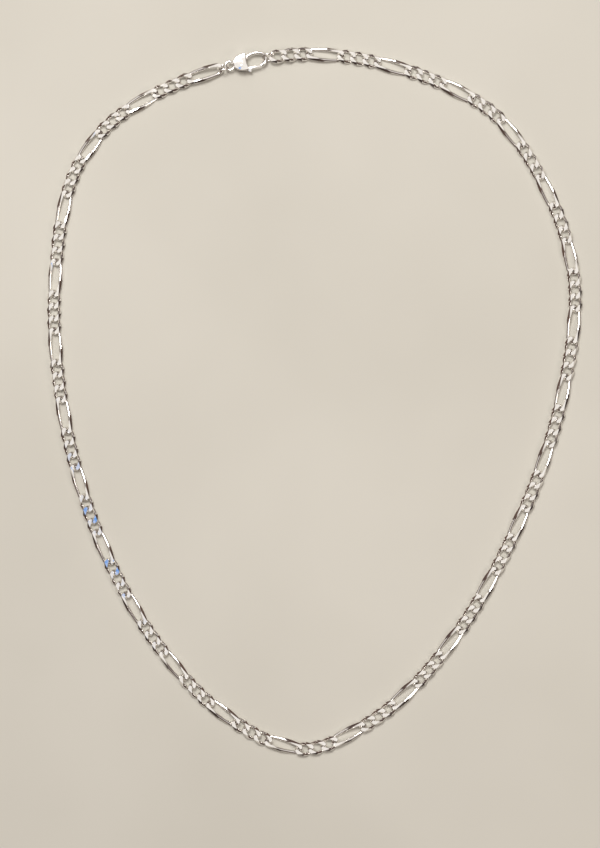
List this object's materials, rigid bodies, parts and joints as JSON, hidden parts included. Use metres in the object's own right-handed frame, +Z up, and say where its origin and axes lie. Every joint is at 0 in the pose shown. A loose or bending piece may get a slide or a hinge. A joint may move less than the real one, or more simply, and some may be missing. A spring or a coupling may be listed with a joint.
{
  "type": "figaro chain necklace",
  "caption": "Flat figaro chain necklace, three small curb links to one long link, lying in its neckline curve and closed by a lobster clasp.",
  "frame": {"origin": "middle of the loop's box, on the surface the necklace lies on", "axes": "+Z up off that surface, through the chain's thickness; +Y from the front of the neckline towards the clasp; +X to the right seen from above"},
  "size_m": [0.1702, 0.2254, 0.0038],
  "materials": {
    "sterling_silver": "polished sterling silver with cut flats",
    "spring_steel": "plain steel wire and leaf"
  },
  "bodies": {
    "long_link_01": {"long_link_01": "sterling_silver"},
    "curb_trio_01": {"curb_trio_01": "sterling_silver"},
    "long_link_02": {"long_link_02": "sterling_silver"},
    "curb_trio_02": {"curb_trio_02": "sterling_silver"},
    "long_link_03": {"long_link_03": "sterling_silver"},
    "curb_trio_03": {"curb_trio_03": "sterling_silver"},
    "long_link_04": {"long_link_04": "sterling_silver"},
    "curb_trio_04": {"curb_trio_04": "sterling_silver"},
    "long_link_05": {"long_link_05": "sterling_silver"},
    "curb_trio_05": {"curb_trio_05": "sterling_silver"},
    "long_link_06": {"long_link_06": "sterling_silver"},
    "curb_trio_06": {"curb_trio_06": "sterling_silver"},
    "long_link_07": {"long_link_07": "sterling_silver"},
    "curb_trio_07": {"curb_trio_07": "sterling_silver"},
    "long_link_08": {"long_link_08": "sterling_silver"},
    "curb_trio_08": {"curb_trio_08": "sterling_silver"},
    "long_link_09": {"long_link_09": "sterling_silver"},
    "curb_trio_09": {"curb_trio_09": "sterling_silver"},
    "long_link_10": {"long_link_10": "sterling_silver"},
    "curb_trio_10": {"curb_trio_10": "sterling_silver"},
    "long_link_11": {"long_link_11": "sterling_silver"},
    "curb_trio_11": {"curb_trio_11": "sterling_silver"},
    "long_link_12": {"long_link_12": "sterling_silver"},
    "curb_trio_12": {"curb_trio_12": "sterling_silver"},
    "long_link_13": {"long_link_13": "sterling_silver"},
    "curb_trio_13": {"curb_trio_13": "sterling_silver"},
    "long_link_14": {"long_link_14": "sterling_silver"},
    "curb_trio_14": {"curb_trio_14": "sterling_silver"},
    "long_link_15": {"long_link_15": "sterling_silver"},
    "curb_trio_15": {"curb_trio_15": "sterling_silver"},
    "long_link_16": {"long_link_16": "sterling_silver"},
    "curb_trio_16": {"curb_trio_16": "sterling_silver"},
    "long_link_17": {"long_link_17": "sterling_silver"},
    "curb_trio_17": {"curb_trio_17": "sterling_silver"},
    "long_link_18": {"long_link_18": "sterling_silver"},
    "curb_trio_18": {"curb_trio_18": "sterling_silver"},
    "long_link_19": {"long_link_19": "sterling_silver"},
    "curb_trio_19": {"curb_trio_19": "sterling_silver"},
    "long_link_20": {"long_link_20": "sterling_silver"},
    "curb_trio_20": {"curb_trio_20": "sterling_silver"},
    "long_link_21": {"long_link_21": "sterling_silver"},
    "curb_trio_21": {"curb_trio_21": "sterling_silver"},
    "long_link_22": {"long_link_22": "sterling_silver"},
    "curb_trio_22": {"curb_trio_22": "sterling_silver"},
    "long_link_23": {"long_link_23": "sterling_silver"},
    "curb_trio_23": {"curb_trio_23": "sterling_silver"},
    "long_link_24": {"long_link_24": "sterling_silver"},
    "curb_trio_24": {"curb_trio_24": "sterling_silver"},
    "long_link_25": {"long_link_25": "sterling_silver"},
    "curb_trio_25": {"curb_trio_25": "sterling_silver"},
    "long_link_26": {"long_link_26": "sterling_silver"},
    "curb_trio_26": {"curb_trio_26": "sterling_silver"},
    "long_link_27": {"long_link_27": "sterling_silver"},
    "curb_trio_27": {"curb_trio_27": "sterling_silver"},
    "clasp_jump_ring": {"clasp_jump_ring": "sterling_silver"},
    "clasp_body": {"clasp_body": "sterling_silver", "clasp_pivot_pin": "spring_steel", "clasp_spring": "spring_steel"},
    "clasp_lever": {"clasp_lever": "sterling_silver"},
    "end_ring": {"end_ring": "sterling_silver"}
  },
  "joints": [
    {"name": "link_joint_24", "type": "hinge", "parent": "long_link_13", "child": "curb_trio_12", "pos_m": [-0.01468, -0.10793, 0.00093], "axis": [0.4008, 0.9162, 0], "range_deg": [-28, 28]},
    {"name": "link_joint_23", "type": "hinge", "parent": "curb_trio_12", "child": "long_link_12", "pos_m": [-0.025, -0.10212, 0.00093], "axis": [-0.5528, -0.8333, 0], "range_deg": [-28, 28]},
    {"name": "link_joint_22", "type": "hinge", "parent": "long_link_12", "child": "curb_trio_11", "pos_m": [-0.03311, -0.09612, 0.00093], "axis": [-0.65, -0.76, 0], "range_deg": [-28, 28]},
    {"name": "link_joint_21", "type": "hinge", "parent": "curb_trio_11", "child": "long_link_11", "pos_m": [-0.04152, -0.08779, 0.00093], "axis": [0.7471, 0.6647, 0], "range_deg": [-28, 28]},
    {"name": "link_joint_20", "type": "hinge", "parent": "long_link_11", "child": "curb_trio_10", "pos_m": [-0.04792, -0.07998, 0.00093], "axis": [0.7959, 0.6054, 0], "range_deg": [-28, 28]},
    {"name": "link_joint_19", "type": "hinge", "parent": "curb_trio_10", "child": "long_link_10", "pos_m": [-0.05472, -0.07028, 0.00093], "axis": [-0.8433, -0.5374, 0], "range_deg": [-28, 28]},
    {"name": "link_joint_18", "type": "hinge", "parent": "long_link_10", "child": "curb_trio_09", "pos_m": [-0.05985, -0.06158, 0.00093], "axis": [-0.8777, -0.4793, 0], "range_deg": [-28, 28]},
    {"name": "link_joint_17", "type": "hinge", "parent": "curb_trio_09", "child": "long_link_09", "pos_m": [-0.06517, -0.05099, 0.00093], "axis": [0.908, 0.419, 0], "range_deg": [-28, 28]},
    {"name": "link_joint_16", "type": "hinge", "parent": "long_link_09", "child": "curb_trio_08", "pos_m": [-0.06915, -0.04171, 0.00093], "axis": [0.929, 0.37, 0], "range_deg": [-28, 28]},
    {"name": "link_joint_15", "type": "hinge", "parent": "curb_trio_08", "child": "long_link_08", "pos_m": [-0.07316, -0.03056, 0.00093], "axis": [-0.9514, -0.3079, 0], "range_deg": [-28, 28]},
    {"name": "link_joint_14", "type": "hinge", "parent": "long_link_08", "child": "curb_trio_07", "pos_m": [-0.07602, -0.02088, 0.00093], "axis": [-0.966, -0.2586, 0], "range_deg": [-28, 28]},
    {"name": "link_joint_13", "type": "hinge", "parent": "curb_trio_07", "child": "long_link_07", "pos_m": [-0.07875, -0.00935, 0.00093], "axis": [0.9794, 0.202, 0], "range_deg": [-28, 28]},
    {"name": "link_joint_12", "type": "hinge", "parent": "long_link_07", "child": "curb_trio_06", "pos_m": [-0.08054, 0.00059, 0.00093], "axis": [0.9884, 0.152, 0], "range_deg": [-28, 28]},
    {"name": "link_joint_11", "type": "hinge", "parent": "curb_trio_06", "child": "long_link_06", "pos_m": [-0.08202, 0.01235, 0.00093], "axis": [-0.9954, -0.0959, 0], "range_deg": [-28, 28]},
    {"name": "link_joint_10", "type": "hinge", "parent": "long_link_06", "child": "curb_trio_05", "pos_m": [-0.08272, 0.02242, 0.00093], "axis": [-0.9991, -0.0427, 0], "range_deg": [-28, 28]},
    {"name": "link_joint_09", "type": "hinge", "parent": "curb_trio_05", "child": "long_link_05", "pos_m": [-0.08281, 0.03427, 0.00093], "axis": [0.9995, -0.0315, 0], "range_deg": [-28, 28]},
    {"name": "link_joint_08", "type": "hinge", "parent": "long_link_05", "child": "curb_trio_04", "pos_m": [-0.08214, 0.04435, 0.00093], "axis": [0.9961, -0.0882, 0], "range_deg": [-28, 28]},
    {"name": "link_joint_07", "type": "hinge", "parent": "curb_trio_04", "child": "long_link_04", "pos_m": [-0.08078, 0.05612, 0.00093], "axis": [-0.9885, 0.1514, 0], "range_deg": [-28, 28]},
    {"name": "link_joint_06", "type": "hinge", "parent": "long_link_04", "child": "curb_trio_03", "pos_m": [-0.07874, 0.066, 0.00093], "axis": [-0.964, 0.2659, 0], "range_deg": [-28, 28]},
    {"name": "link_joint_05", "type": "hinge", "parent": "curb_trio_03", "child": "long_link_03", "pos_m": [-0.07426, 0.07694, 0.00093], "axis": [0.8654, -0.5011, 0], "range_deg": [-28, 28]},
    {"name": "link_joint_04", "type": "hinge", "parent": "long_link_03", "child": "curb_trio_02", "pos_m": [-0.06834, 0.0851, 0.00093], "axis": [0.7419, -0.6706, 0], "range_deg": [-28, 28]},
    {"name": "link_joint_03", "type": "hinge", "parent": "curb_trio_02", "child": "long_link_02", "pos_m": [-0.05941, 0.09284, 0.00093], "axis": [-0.567, 0.8237, 0], "range_deg": [-28, 28]},
    {"name": "link_joint_02", "type": "hinge", "parent": "long_link_02", "child": "curb_trio_01", "pos_m": [-0.05069, 0.09792, 0.00093], "axis": [-0.4443, 0.8959, 0], "range_deg": [-28, 28]},
    {"name": "link_joint_01", "type": "hinge", "parent": "curb_trio_01", "child": "long_link_01", "pos_m": [-0.0398, 0.10258, 0.00132], "axis": [0.3479, -0.9375, 0], "range_deg": [-28, 28]},
    {"name": "link_joint_25", "type": "hinge", "parent": "long_link_13", "child": "curb_trio_13", "pos_m": [-0.00497, -0.11052, 0.00093], "axis": [-0.0625, -0.998, 0], "range_deg": [-28, 28]},
    {"name": "link_joint_26", "type": "hinge", "parent": "curb_trio_13", "child": "long_link_14", "pos_m": [0.00654, -0.10817, 0.00093], "axis": [-0.3884, 0.9215, 0], "range_deg": [-28, 28]},
    {"name": "link_joint_27", "type": "hinge", "parent": "long_link_14", "child": "curb_trio_14", "pos_m": [0.01543, -0.10341, 0.00093], "axis": [-0.5326, 0.8464, 0], "range_deg": [-28, 28]},
    {"name": "link_joint_28", "type": "hinge", "parent": "curb_trio_14", "child": "long_link_15", "pos_m": [0.02509, -0.09657, 0.00093], "axis": [0.6376, -0.7704, 0], "range_deg": [-28, 28]},
    {"name": "link_joint_29", "type": "hinge", "parent": "long_link_15", "child": "curb_trio_15", "pos_m": [0.03245, -0.08965, 0.00093], "axis": [0.7246, -0.6892, 0], "range_deg": [-28, 28]},
    {"name": "link_joint_30", "type": "hinge", "parent": "curb_trio_15", "child": "long_link_16", "pos_m": [0.04019, -0.08069, 0.00093], "axis": [-0.7823, 0.6229, 0], "range_deg": [-28, 28]},
    {"name": "link_joint_31", "type": "hinge", "parent": "long_link_16", "child": "curb_trio_16", "pos_m": [0.04626, -0.07262, 0.00093], "axis": [-0.819, 0.5737, 0], "range_deg": [-28, 28]},
    {"name": "link_joint_32", "type": "hinge", "parent": "curb_trio_16", "child": "long_link_17", "pos_m": [0.05266, -0.06265, 0.00093], "axis": [0.8605, -0.5094, 0], "range_deg": [-28, 28]},
    {"name": "link_joint_33", "type": "hinge", "parent": "long_link_17", "child": "curb_trio_17", "pos_m": [0.05758, -0.05383, 0.00093], "axis": [0.8847, -0.4662, 0], "range_deg": [-28, 28]},
    {"name": "link_joint_34", "type": "hinge", "parent": "curb_trio_17", "child": "long_link_18", "pos_m": [0.06285, -0.04322, 0.00093], "axis": [-0.9054, 0.4246, 0], "range_deg": [-28, 28]},
    {"name": "link_joint_35", "type": "hinge", "parent": "long_link_18", "child": "curb_trio_18", "pos_m": [0.06699, -0.034, 0.00093], "axis": [-0.9191, 0.394, 0], "range_deg": [-28, 28]},
    {"name": "link_joint_36", "type": "hinge", "parent": "curb_trio_18", "child": "long_link_19", "pos_m": [0.07141, -0.02301, 0.00093], "axis": [0.9365, -0.3506, 0], "range_deg": [-28, 28]},
    {"name": "link_joint_37", "type": "hinge", "parent": "long_link_19", "child": "curb_trio_19", "pos_m": [0.07472, -0.01347, 0.00093], "axis": [0.9527, -0.3038, 0], "range_deg": [-28, 28]},
    {"name": "link_joint_38", "type": "hinge", "parent": "curb_trio_19", "child": "long_link_20", "pos_m": [0.07792, -0.00206, 0.00093], "axis": [-0.9727, 0.2321, 0], "range_deg": [-28, 28]},
    {"name": "link_joint_39", "type": "hinge", "parent": "long_link_20", "child": "curb_trio_20", "pos_m": [0.08004, 0.00781, 0.00093], "axis": [-0.981, 0.1939, 0], "range_deg": [-28, 28]},
    {"name": "link_joint_40", "type": "hinge", "parent": "curb_trio_20", "child": "long_link_21", "pos_m": [0.08199, 0.0195, 0.00093], "axis": [0.9918, -0.1279, 0], "range_deg": [-28, 28]},
    {"name": "link_joint_41", "type": "hinge", "parent": "long_link_21", "child": "curb_trio_21", "pos_m": [0.08284, 0.02956, 0.00093], "axis": [0.9994, -0.0339, 0], "range_deg": [-28, 28]},
    {"name": "link_joint_42", "type": "hinge", "parent": "curb_trio_21", "child": "long_link_22", "pos_m": [0.0823, 0.04138, 0.00093], "axis": [-0.9904, -0.1382, 0], "range_deg": [-28, 28]},
    {"name": "link_joint_43", "type": "hinge", "parent": "long_link_22", "child": "curb_trio_22", "pos_m": [0.08017, 0.05125, 0.00093], "axis": [-0.9616, -0.2746, 0], "range_deg": [-28, 28]},
    {"name": "link_joint_44", "type": "hinge", "parent": "curb_trio_22", "child": "long_link_23", "pos_m": [0.0762, 0.0624, 0.00093], "axis": [0.9204, 0.391, 0], "range_deg": [-28, 28]},
    {"name": "link_joint_45", "type": "hinge", "parent": "long_link_23", "child": "curb_trio_23", "pos_m": [0.07182, 0.0715, 0.00093], "axis": [0.8794, 0.4761, 0], "range_deg": [-28, 28]},
    {"name": "link_joint_46", "type": "hinge", "parent": "curb_trio_23", "child": "long_link_24", "pos_m": [0.06565, 0.08161, 0.00093], "axis": [-0.8257, -0.564, 0], "range_deg": [-28, 28]},
    {"name": "link_joint_47", "type": "hinge", "parent": "long_link_24", "child": "curb_trio_24", "pos_m": [0.05928, 0.08943, 0.00093], "axis": [-0.7065, -0.7077, 0], "range_deg": [-28, 28]},
    {"name": "link_joint_48", "type": "hinge", "parent": "curb_trio_24", "child": "long_link_25", "pos_m": [0.04987, 0.09657, 0.00093], "axis": [0.503, 0.8643, 0], "range_deg": [-28, 28]},
    {"name": "link_joint_49", "type": "hinge", "parent": "long_link_25", "child": "curb_trio_25", "pos_m": [0.04083, 0.10107, 0.00093], "axis": [0.3962, 0.9182, 0], "range_deg": [-28, 28]},
    {"name": "link_joint_50", "type": "hinge", "parent": "curb_trio_25", "child": "long_link_26", "pos_m": [0.02973, 0.10521, 0.00093], "axis": [-0.3035, -0.9528, 0], "range_deg": [-28, 28]},
    {"name": "link_joint_51", "type": "hinge", "parent": "long_link_26", "child": "curb_trio_26", "pos_m": [0.02, 0.10789, 0.00093], "axis": [-0.2264, -0.974, 0], "range_deg": [-28, 28]},
    {"name": "link_joint_52", "type": "hinge", "parent": "curb_trio_26", "child": "long_link_27", "pos_m": [0.00834, 0.10996, 0.00093], "axis": [0.1177, 0.993, 0], "range_deg": [-28, 28]},
    {"name": "link_joint_53", "type": "hinge", "parent": "long_link_27", "child": "curb_trio_27", "pos_m": [-0.00174, 0.11052, 0.00118], "axis": [-0.0148, 0.9999, 0], "range_deg": [-28, 28]},
    {"name": "clasp_ring_swing", "type": "hinge", "parent": "long_link_01", "child": "clasp_jump_ring", "pos_m": [-0.03021, 0.10575, 0.0019], "axis": [0.2796, -0.9601, 0], "range_deg": [-30, 30]},
    {"name": "clasp_swing", "type": "hinge", "parent": "clasp_jump_ring", "child": "clasp_body", "pos_m": [-0.02776, 0.10644, 0.0019], "axis": [0.2623, -0.965, 0], "range_deg": [-45, 45]},
    {"name": "end_ring_swing", "type": "hinge", "parent": "curb_trio_27", "child": "end_ring", "pos_m": [-0.01354, 0.10948, 0.0019], "axis": [-0.1501, 0.9887, 0], "range_deg": [-4, 4]},
    {"name": "clasp_lever_press", "type": "hinge", "parent": "clasp_body", "child": "clasp_lever", "pos_m": [-0.02307, 0.10657, 0.0019], "axis": [0, 0, 1], "range_deg": [0, 22], "stiffness_Nm_per_rad": 0.0015, "springref_deg": -5.73}
  ]
}
